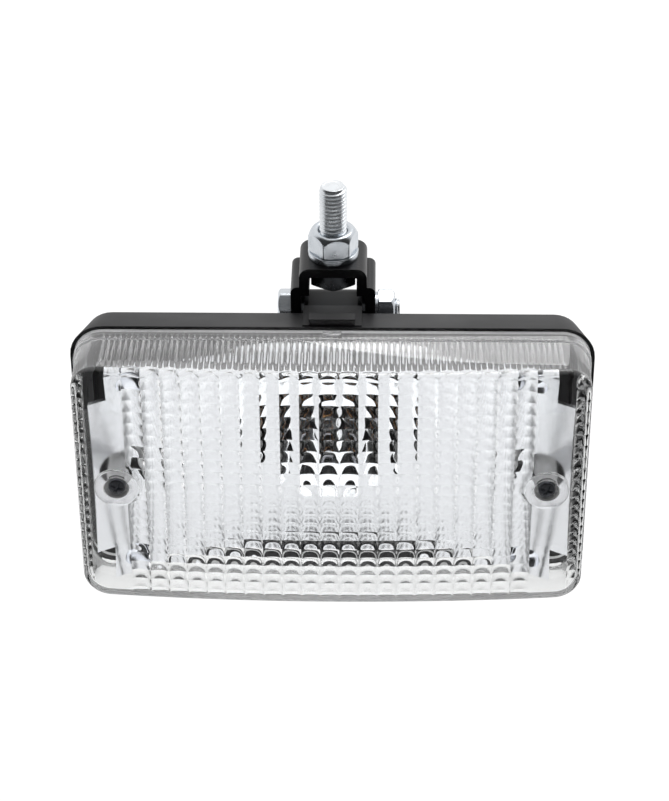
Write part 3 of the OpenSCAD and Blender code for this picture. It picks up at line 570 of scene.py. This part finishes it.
    # triangles from a coarse ring to a ring with fine points for each of its own
    def stitchFine(coarseIds, fineStart, kind=clear):
        k = np.arange(count)
        n = (k + 1) % count
        b = [fineStart + k*fine + m for m in range(fine)] + [fineStart + ((k + 1) % count)*fine]
        tris.append(np.stack([coarseIds, b[0], b[1]], axis=1))
        tris.append(np.stack([coarseIds, b[1], coarseIds[n]], axis=1))
        tris.append(np.stack([coarseIds[n], b[1], b[2]], axis=1))
        tris.append(np.stack([coarseIds[n], b[2], b[3]], axis=1))
        triKinds.extend([kind]*4)

    straight = (1 - smoothStep(np.minimum(np.abs(fnx), np.abs(fnz))/s["straightEnd"]))*(fnz > -0.5)
    groove = groove & (straight > 0.5)
    wallRadius = s["corner"] - s["sideWall"]
    rings = []    # radius, place in Y, share of the flutes' depth, crease
    for a in np.linspace(0, math.pi/2, s["filletSteps"] + 1)[1:]:
        rings.append((wallRadius - s["fillet"]*(1 - math.sin(a)), fy + s["fillet"]*(1 - math.cos(a)), 0.0, 0))
    wallY, gap = fy + s["fillet"], s["fluteStart"]
    rings.append((wallRadius, wallY + gap, 1.0, 0))
    for share in (0.33, 0.66, 1.0):
        rings.append((wallRadius, wallY + gap + share*(-s["fluteBack"] - wallY - gap), 1.0, 0))
    rings.append((wallRadius, np.full(count*fine, -s["fluteBack"] + 0.3), 0.0, 0))
    rings.append((wallRadius, np.full(count*fine, -s["seatGap"]), 0.0, creases["wallBack"]))
    previousFine = None
    for r, y, amount, bits in rings:
        r = r + (s["fluteDepth"]*(1 - rib) - s["fluteRise"])*straight*amount
        start = addRing(fbx + r*fnx, y, fbz + r*fnz, bits)[0]
        if amount > 0:
            flags[-1] = flags[-1] | (groove*creases["groove"])
        if previousFine is None:
            stitchFine(rim + inStart, start)
        else:
            faces.append(ringFaces(previousFine, start, count*fine))
            kinds.append(clear)
        previousFine = start
    stitchFine(backOuter, previousFine, seat)

    # screw wells: one path of rings from the outer face down to the screw's seat and back up to the inner face
    bi = np.concatenate([np.arange(-block, block), np.full(2*block, block),
                         np.arange(block, -block, -1), np.full(2*block, -block)])
    bj = np.roll(bi, 2*block)
    cu = (bi/block)*np.sqrt(1 - (bj/block)**2/2)
    cv = (bj/block)*np.sqrt(1 - (bi/block)**2/2)
    norm = np.hypot(cu, cv)
    cu, cv = cu/norm, cv/norm
    # (each row: radius, place in Y, crease, material slot)
    ringR, bore, screwR = s["wellRing"], s["wellBore"], s["screwHole"]
    ringY = float(frontFace(np.array(s["wellX"]))) - s["wellRise"]
    floorY = ringY + s["wellDepth"]
    wellRows = ((ringR, ringY + 0.3, 0, clear), (ringR - 0.1, ringY + 0.09, 0, clear),
                (ringR - 0.35, ringY, 0, clear), (bore + 0.5, ringY, 0, wall), (bore + 0.15, ringY + 0.1, 0, wall),
                (bore, ringY + 0.45, 0, seat), (bore - 0.1, floorY - 0.2, 0, seat),
                (bore - 0.3, floorY, creases["wellIn"], seat), (screwR, floorY, creases["wellOut"], seat),
                (screwR, -s["seatGap"], creases["wellIn"], seat),
                (s["wellTube"], -s["seatGap"], creases["wellOut"], seat))
    for side, i0 in zip((-1, 1), wellColumns):
        ids = (i0 + bi)*nz + (wellRow + bj)
        previous = ids
        for r, y, bits, kind in wellRows:
            now = addRing(side*s["wellX"] + r*cu, np.full(len(ids), y), r*cv, bits)
            previous = stitch(previous, now, kind)
        stitch(previous, ids + inStart, seat)

    # the small tab on the flange's top, a closed block of its own sunk into the flange
    tabTop = s["halfHigh"] + s["flangeOut"] + s["tabRise"]
    middle = -s["tabBack"] - s["tabLong"]/2
    tabRows = []
    for inset, z in ((s["tabEase"], tabTop - s["tabSink"]), (0.0, tabTop - s["tabEase"]), (0.12, tabTop)):
        w, l = s["tabWide"]/2 - inset, s["tabLong"]/2 - inset
        tabRows.append([(-w, middle - l, z), (w, middle - l, z), (w, middle + l, z), (-w, middle + l, z)])
    tabPoints, tabFaces = stackRings(np.array(tabRows))
    points.append(tabPoints)
    flags.append(np.zeros(len(tabPoints), np.int64))
    for f in tabFaces:
        group, groupKinds = (faces, kinds) if f.shape[1] == 4 else (tris, triKinds)
        group.append(f + at)
        groupKinds.append(wall)

    points = np.concatenate(points)*mm + lampOrigin
    piece = makeMesh("lens_clear", points, [np.concatenate(faces), np.concatenate(tris)], "lamp",
                     mats["clearLens"])
    for look in ("lensWall", "lensSeat", "lensLand"):
        piece.data.materials.append(mats[look])
    slots = np.concatenate([np.full(len(f), kind, np.int32) for f, kind in zip(faces + tris, kinds + triKinds)])
    piece.data.polygons.foreach_set("material_index", slots)
    markCreases(piece, np.concatenate(flags))
    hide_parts("lens")
    return piece


print("lens made:", len(buildLens().data.polygons), "faces")


dish = dict(vertex=7.0, focus=60.0, thick=1.6, facing=0.97, near=0.3)


# The solid's own shape, with the normals of the true dish on its faces: y = vertex - (x^2 + z^2)/(4 focus).
def buildReflector(s=dish):
    piece = copyNode("reflector", "reflector_dish", mats["brightDish"], angle=20)
    mesh = piece.data
    co = np.empty(len(mesh.vertices)*3, np.float32)
    mesh.vertices.foreach_get("co", co)
    co = (co.reshape(-1, 3) - lampOrigin)/mm
    loopVert = np.empty(len(mesh.loops), np.int32)
    mesh.loops.foreach_get("vertex_index", loopVert)
    faceNormal = np.empty(len(mesh.polygons)*3, np.float32)
    mesh.polygons.foreach_get("normal", faceNormal)
    faceNormal = faceNormal.reshape(-1, 3)
    size = np.empty(len(mesh.polygons), np.int32)
    mesh.polygons.foreach_get("loop_total", size)
    owner = np.repeat(np.arange(len(size)), size)
    p = co[loopVert]
    true = np.stack([-2*p[:, 0]/(4*s["focus"]), -np.ones(len(p)), -2*p[:, 2]/(4*s["focus"])], axis=1)
    true /= np.linalg.norm(true, axis=1)[:, None]
    flat = faceNormal[owner]
    dot = (true*flat).sum(1)
    offset = p[:, 1] - (s["vertex"] - (p[:, 0]**2 + p[:, 2]**2)/(4*s["focus"]))
    front = (dot > s["facing"]) & (np.abs(offset) < s["near"])
    back = (dot < -s["facing"]) & (np.abs(offset - s["thick"]) < s["near"])
    normals = np.where(front[:, None], true, np.where(back[:, None], -true, flat))
    mesh.normals_split_custom_set(normals.tolist())


buildReflector()
print("reflector made")


def boxInMm(node):
    return [np.array(corner)/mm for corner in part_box(node)]


studLow, studHigh = boxInMm("stud_bolt")
nutLow, nutHigh = boxInMm("mounting_nut")
pivotLow, pivotHigh = boxInMm("pivot_bolt")
pivotNutLow, pivotNutHigh = boxInMm("pivot_nut")
earLow, earHigh = boxInMm("bracket")
pivotZ = (pivotLow[2] + pivotHigh[2])/2
# What all hexagons share: degrees round one side, closest at the corners, and where lines run on their faces.
hexagon = dict(angles=(0, 0.9, 2.6, 7, 14, 22, 30, 38, 46, 53, 57.4, 59.1), shares=(0, 0.3, 0.6, 0.85),
               inset=0.3, near=0.1, far=0.3, boreEdge=0.1, boreDrop=0.04)
# What all threads share: how soft the teeth are, how they run out, and the dome on the end.
threading = dict(soft=0.8, softFrom=0.1, runOut=0.6, runSoft=0.5, lead=0.05, domeHigh=0.05,
                 domeShares=(0.94, 0.6, 0.1))


# A nut or bolt head about +Z, from 0 to height. At each angle an end face runs flat out to a circle, then
# falls by drop * share^power towards the hexagon's side, where share is 0 at the circle and 1 at a corner.
def hexForm(s, h=hexagon):
    step = np.array(h["angles"])
    a = np.radians(np.concatenate([step + 60*k for k in range(6)]))
    corner = s["flats"]/2/math.cos(math.pi/6)
    side = np.minimum(s["flats"]/2/np.cos(np.mod(a, math.pi/3) - math.pi/6), corner - s["cornerEase"])

    def end(radius, flat, drop):
        share = np.clip((radius - flat)/(corner - flat), 0, 1)
        return drop*share**s["power"]

    low = end(side, s["footFlat"], s["footDrop"])
    high = s["height"] - end(side, s["topFlat"], s["topDrop"])
    near, far = h["near"], h["far"]
    rows = [(s["footFlat"] - h["inset"], 0*a)]
    for q in h["shares"]:
        r = s["footFlat"] + (side - s["footFlat"])*q
        rows.append((r, end(r, s["footFlat"], s["footDrop"])))
    for z in (low, low + near, low + far, high - far, high - near, high):
        rows.append((side, z))
    for q in h["shares"][::-1]:
        r = s["topFlat"] + (side - s["topFlat"])*q
        rows.append((r, s["height"] - end(r, s["topFlat"], s["topDrop"])))
    rows.append((s["topFlat"] - h["inset"], s["height"] + 0*a))
    if s["bore"]:
        rows.append((s["bore"] + s["sink"] + h["boreEdge"], s["height"] + 0*a))
        rows.append((s["bore"] + s["sink"], s["height"] - h["boreDrop"] + 0*a))
        rows.append((s["bore"], s["height"] - s["sink"] + 0*a))
        rows.append((s["bore"], 0*a))
    turned = a + math.radians(s["turn"])
    rows = np.stack([np.stack([r*np.cos(turned), r*np.sin(turned), z], -1) for r, z in rows])
    return stackRings(rows, closed=bool(s["bore"]))


# A thread about +Z: radius = crest - depth * tooth, where tooth repeats along z/pitch - angle/turn,
# and the tip's chamfer cuts the radius back by as much as it rises.
def threadForm(s, d=threading):
    zs = np.concatenate([[s["foot"], s["start"] - d["lead"]],
                         np.linspace(s["start"], s["tip"], int((s["tip"] - s["start"])/s["pitch"]*s["perPitch"]))])
    a = np.linspace(0, 2*math.pi, s["turns"], endpoint=False)
    zz, aa = np.meshgrid(zs, a, indexing="ij")
    t = np.abs(np.mod(zz/s["pitch"] - aa/(2*math.pi), 1) - 0.5)*2
    slope = (t - s["crestShare"])/(s["rootShare"] - s["crestShare"])
    tooth = smoothStep(slope*d["soft"] + d["softFrom"])
    plain = smoothStep((s["start"] + d["runOut"] - zz)/d["runSoft"])
    r = s["radius"] - s["depth"]*tooth*(1 - plain) - s["hidden"]*plain
    r = np.minimum(r, s["radius"] - np.clip(zz - (s["tip"] - s["chamfer"]), 0, None)*s["chamferSlope"])
    rows = np.stack([r*np.cos(aa), r*np.sin(aa), zz], -1)
    tip, rise = rows[-1, :, :2], d["domeHigh"]
    dome = np.stack([np.concatenate([tip*q, np.full((len(a), 1), s["tip"] - rise + rise*(1 - q))], 1)
                     for q in d["domeShares"]])
    return stackRings(np.concatenate([rows, dome]))


# Turns a form that stands along +Z to lie along the pivot: sign 1 points it to +X, and -1 to -X.
def alongPivot(points, start, sign):
    return np.stack([start + sign*points[:, 2], points[:, 1], pivotZ - sign*points[:, 0]], axis=1)


nut = dict(flats=13.0, height=nutHigh[2] - nutLow[2], turn=10, cornerEase=0.12, power=1.6,
           topFlat=5.7, topDrop=2.3, footFlat=6.2, footDrop=0.6, bore=4.0, sink=0.75)
stud = dict(radius=4.0, pitch=1.25, depth=0.74, crestShare=0.1, rootShare=0.8, turns=96, perPitch=20,
            foot=studLow[2] + 4.8, start=-1.6, tip=studHigh[2], hidden=0.45, chamfer=1.0, chamferSlope=0.7)
studHead = dict(nut, height=5.3, turn=30, topFlat=6.2, topDrop=0.2, footFlat=5.9, footDrop=0.9, bore=0, sink=0)
pivot = dict(radius=3.0, pitch=1.0, depth=0.58, crestShare=0.1, rootShare=0.8, turns=64, perPitch=16,
             foot=-0.5, start=earHigh[0] - earLow[0] + 1, tip=pivotHigh[0] - earLow[0], hidden=0.4,
             chamfer=0.8, chamferSlope=0.8)
pivotHead = dict(flats=10.0, height=earLow[0] - pivotLow[0], turn=-14.5, cornerEase=0.1, power=1.6,
                 topFlat=4.4, topDrop=0.9, footFlat=4.9, footDrop=0.1, bore=0, sink=0)
pivotNut = dict(pivotHead, height=pivotNutHigh[0] - pivotNutLow[0], turn=-20, footFlat=4.6, footDrop=0.4,
                topDrop=1.3, bore=3.0, sink=0.5)


def addFastener(name, form, place, node=None, look="zincSteel"):
    points, faces = form
    piece = makeMesh(name, place(points)*mm, faces, "mount", mats[look])
    if node:
        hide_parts(node)


def headDown(p):
    return p*[1, -1, -1] + [0, 0, studLow[2] + studHead["height"]]


addFastener("stud_thread", threadForm(stud), lambda p: p, "stud_bolt", "zincThread")
addFastener("stud_head", hexForm(studHead), headDown)
addFastener("nut_m8", hexForm(nut), lambda p: p + [0, 0, nutLow[2]], "mounting_nut")
addFastener("pivot_thread", threadForm(pivot), lambda p: alongPivot(p, earLow[0], 1), "pivot_bolt", "zincThread")
addFastener("pivot_head", hexForm(pivotHead), lambda p: alongPivot(p, earLow[0], -1))
addFastener("pivot_nut_m6", hexForm(pivotNut), lambda p: alongPivot(p, pivotNutLow[0], 1), "pivot_nut")
print("fasteners made")

# The lens screws in mm: head and its rim, shank and point, then the cross in the head.
screw = dict(head=2.55, headHigh=1.7, crown=0.5, rimWide=0.3, rimDrop=0.12, rimLines=(0.15, 0.04), sink=0.75,
             shank=1.6, under=0.05, pointLong=1, pointRadius=0.2,
             armLong=1.75, armWide=0.42, armSoft=0.14, deep=0.8, armRise=0.5, turn=20,
             middle=0.04, domeEnd=0.35, rings=26, columns=96)


# Rings of the given radii and heights about +Z.
def turnedRows(rows, a):
    return np.stack([np.stack([r*np.cos(a), r*np.sin(a), z + 0*a], -1) for r, z in rows])


# A cross-head screw about +Z: a low dome, crown * (1 - (r/head)^2), with a cross sunk into it, and a plain
# shank that ends in a point.
def screwForm(length, s=screw):
    a = np.linspace(0, 2*math.pi, s["columns"], endpoint=False)
    radii = np.concatenate([np.linspace(s["middle"], s["head"] - s["domeEnd"], s["rings"]),
                            [s["head"] - inset for inset in s["rimLines"]]])
    rr, aa = np.meshgrid(radii, a, indexing="ij")
    turned = aa + math.radians(s["turn"])
    ax, ay = np.abs(rr*np.cos(turned)), np.abs(rr*np.sin(turned))
    inside = np.maximum(np.maximum(ax, ay) - s["armLong"], np.minimum(ax, ay) - s["armWide"])
    sunk = smoothStep(-inside/s["armSoft"] + 0.5)*s["deep"]*(1 - s["armRise"]*rr/s["head"])
    rim = s["rimDrop"]*smoothStep((rr - s["head"] + s["rimWide"])/s["rimWide"])
    top = s["crown"]*(1 - (rr/s["head"])**2) - rim - sunk
    dome = np.stack([rr*np.cos(aa), rr*np.sin(aa), top], -1)
    rows = [(s["head"], -s["rimWide"]), (s["head"], -s["headHigh"]), (s["shank"], -s["headHigh"] - s["under"]),
            (s["shank"], s["pointLong"] - length), (s["pointRadius"], -length)]
    return stackRings(np.concatenate([dome, turnedRows(rows, a)]))


seal = dict(inner=1.7, outer=2.4, thick=0.57, ease=0.12, corner=0.1, columns=48)


# The rubber ring under a screw's head, its outer edges eased.
def sealForm(s=seal):
    a = np.linspace(0, 2*math.pi, s["columns"], endpoint=False)
    edge = s["outer"] - s["corner"]
    rows = [(s["inner"], 0), (edge, 0), (s["outer"], s["ease"]), (s["outer"], s["thick"] - s["ease"]),
            (edge, s["thick"]), (s["inner"], s["thick"])]
    return stackRings(turnedRows(rows, a), closed=True)


wellFace = float(frontFace(np.array(lens["wellX"]))) - lens["wellRise"]
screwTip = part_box("lens_screws")[1][1]/mm - lampOrigin[1]/mm


# The same form in both wells, its top at depth below the wells' rings.
def addInWells(form, name, node, look, depth):
    points, faces = form
    both = []
    for side in (-1, 1):
        both.append(np.stack([points[:, 0] + side*lens["wellX"], wellFace + depth - points[:, 2], points[:, 1]], 1))
    faces = [np.concatenate([f, f + len(points)]) for f in faces]
    piece = makeMesh(name, np.concatenate(both)*mm + lampOrigin, faces, "lamp", mats[look])
    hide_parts(node)


addInWells(screwForm(screwTip - wellFace - screw["sink"]), "lens_screw_pair", "lens_screws", "darkZinc",
           screw["sink"])
addInWells(sealForm(), "screw_seal_pair", "screw_seals", "sealRubber", lens["wellDepth"])
print("screws made")

copyNode("bracket", "bracket_strip", mats["bracketBlack"], angle=30, bevel=0.35*mm)
copyNode("housing", "housing_shell", mats["housingBlack"], angle=25)
copyNode("spring_washer", "washer_spring", mats["zincSteel"], angle=40, bevel=0.3*mm)
print("eased copies made")

camera = dict(elevation=34.598, azimuth=1.17, roll=-0.308, distance=747.39, offset=(0.62, 0.0, 16.985),
              lens=137.57, sensor=36, clipStart=0.01)


# Puts a camera or lamp at a place, its own axes along right, up and back.
def standAt(thing, right, up, back, place):
    m = Matrix.Identity(4)
    for row in range(3):
        m[row][0], m[row][1], m[row][2], m[row][3] = right[row], up[row], back[row], place[row]
    thing.matrix_world = m


# The camera looks along azimuth and elevation from distance mm away, past a point offset from the lens's back.
def buildCamera(s=camera):
    el, az, roll = (math.radians(s[k]) for k in ("elevation", "azimuth", "roll"))
    look = np.array([-math.sin(az)*math.cos(el), math.cos(az)*math.cos(el), -math.sin(el)])
    right0 = np.array([math.cos(az), math.sin(az), 0.0])
    up0 = np.cross(right0, look)
    right = right0*math.cos(roll) + up0*math.sin(roll)
    up = -right0*math.sin(roll) + up0*math.cos(roll)
    place = lampOrigin + (np.array(s["offset"]) - s["distance"]*look)*mm
    data = bpy.data.cameras.new("camera")
    data.sensor_fit = "HORIZONTAL"
    data.sensor_width = s["sensor"]
    data.lens = s["lens"]
    data.clip_start = s["clipStart"]
    cam = addObject("camera", data)
    standAt(cam, right, up, -look, place)
    bpy.context.scene.camera = cam


# Strengths of the studio, and where its dark side starts and ends: in the world by direction, on the floor by
# place in metres. The card lies on the floor in front of the lamp, from cardFrom on.
levels = dict(world=0.9, front=0.04, seen=1.0, backFrom=-0.15, backTo=0.3, topFrom=0.84, topTo=0.96,
              floorSeen=1.12, floorFront=0.03, floorFrom=0.05, floorTo=-0.1, floorShare=0.9, floorColour=0.9,
              guided=1.55, guidedFrom=5.5, plainFrom=3.5, diffuseWeight=4.0,
              card=0.02, cardSlope=0.23, cardSoft=0.2, cardFrom=0.28, cardEdge=0.02)


# 1 for rays seen directly, or through the lens after the reflector, a matt surface or many bounces. A ray that
# only bounced once inside the clear plastic gets the studio as surfaces meet it.
def plainRays(tree, path, s):
    matt = math2(tree, "MULTIPLY", path["Diffuse Depth"], s["diffuseWeight"])
    deep = math2(tree, "GREATER_THAN", math2(tree, "ADD", matt, path["Ray Depth"]), s["plainFrom"])
    through = math2(tree, "MULTIPLY", deep, path["Is Transmission Ray"])
    return math2(tree, "MAXIMUM", path["Is Camera Ray"], through)


# Light led along inside the lens's walls loses too much on the way, so its rays find a brighter studio.
def guidedBoost(tree, path, plainLevel, s):
    return mapSpan(tree, path["Ray Depth"], s["guidedFrom"], s["guidedFrom"] + 1, plainLevel, plainLevel*s["guided"])


# The studio as surfaces meet it: bright behind the object and overhead, dark on the camera's side.
def buildWorld(s=levels):
    world = bpy.data.worlds.new("studio")
    bpy.context.scene.world = world
    world.use_nodes = True
    tree = world.node_tree
    back = tree.nodes["Background"]
    back.inputs["Color"].default_value = (1, 1, 1, 1)
    path = tree.nodes.new("ShaderNodeLightPath").outputs
    axes = splitAxes(tree, tree.nodes.new("ShaderNodeTexCoord").outputs["Generated"])
    behind = mapSpan(tree, axes["Y"], s["backFrom"], s["backTo"], s["front"], s["world"], smooth=True)
    above = mapSpan(tree, axes["Z"], s["topFrom"], s["topTo"], s["front"], s["world"], smooth=True)
    met = math2(tree, "MAXIMUM", behind, above)
    strength = pickBy(tree, plainRays(tree, path, s), met, guidedBoost(tree, path, s["seen"], s))
    tree.links.new(strength, back.inputs["Strength"])


# The floor's strength for plain rays. A dark card lies in front of the lamp, where |x| < cardSlope * distance,
# and shows only through the lens.
def buildCard(tree, place, path, s):
    axes = splitAxes(tree, place)
    ahead = math2(tree, "MULTIPLY", axes["Y"], -1.0)
    ratio = math2(tree, "DIVIDE", math2(tree, "ABSOLUTE", axes["X"], 0.0), ahead)
    narrow = mapSpan(tree, ratio, s["cardSlope"]*(1 + s["cardSoft"]), s["cardSlope"]*(1 - s["cardSoft"]))
    far = mapSpan(tree, ahead, s["cardFrom"], s["cardFrom"] + s["cardEdge"])
    card = math2(tree, "MULTIPLY", math2(tree, "MULTIPLY", narrow, far), path["Is Transmission Ray"])
    return mapSpan(tree, card, 0.0, 1.0, guidedBoost(tree, path, s["floorSeen"], s), s["card"])


ground = dict(size=3.0, below=0.03, roughness=0.9)


# A white floor that glows for rays seen directly, through glass or in metal, and keeps the object's shadow.
def buildFloor(s=levels, g=ground):
    size, z = g["size"], cadBox[0][2] - g["below"]
    mesh = bpy.data.meshes.new("floor")
    mesh.from_pydata([(-size, -size, z), (size, -size, z), (size, size, z), (-size, size, z)], [], [(0, 1, 2, 3)])
    material, shader = newMaterial("floorWhite", colour=(*[s["floorColour"]]*3, 1), roughness=g["roughness"])
    tree = material.node_tree
    path = tree.nodes.new("ShaderNodeLightPath").outputs
    place = tree.nodes.new("ShaderNodeNewGeometry").outputs["Position"]
    mirrored = math2(tree, "SUBTRACT", path["Is Glossy Ray"], path["Is Transmission Ray"], clamp=True)
    through = math2(tree, "MAXIMUM", path["Is Camera Ray"], path["Is Transmission Ray"])
    share = math2(tree, "MULTIPLY", math2(tree, "MAXIMUM", through, mirrored), s["floorShare"])
    met = mapSpan(tree, splitAxes(tree, place)["Y"], s["floorFrom"], s["floorTo"], 1.0, s["floorFront"])
    glow = tree.nodes.new("ShaderNodeEmission")
    strength = pickBy(tree, plainRays(tree, path, s), met, buildCard(tree, place, path, s))
    tree.links.new(strength, glow.inputs["Strength"])
    mix = tree.nodes.new("ShaderNodeMixShader")
    for value, socket in zip((share, shader.outputs[0], glow.outputs[0]), mix.inputs):
        tree.links.new(value, socket)
    tree.links.new(mix.outputs[0], tree.nodes["Material Output"].inputs["Surface"])
    mesh.materials.append(material)
    addObject("floor", mesh)


keyLamp = dict(place=(0.25, 0.45, 0.9), size=0.7, power=5.0)


# A round area lamp that faces the object.
def addLamp(name, place, size, power):
    data = bpy.data.lights.new(name, "AREA")
    data.shape = "DISK"
    data.size = size
    data.energy = power
    back = np.array(place) - lampOrigin
    back = back/np.linalg.norm(back)
    right = np.cross([0, 0, 1], back)
    right = right/np.linalg.norm(right)
    standAt(addObject(name, data), right, np.cross(back, right), back, place)


buildCamera()
buildWorld()
buildFloor()
addLamp("key", **keyLamp)
bpy.context.scene.view_settings.view_transform = "Standard"
print("stage set")


def plain(box):
    return [[float(v) for v in corner] for corner in box]
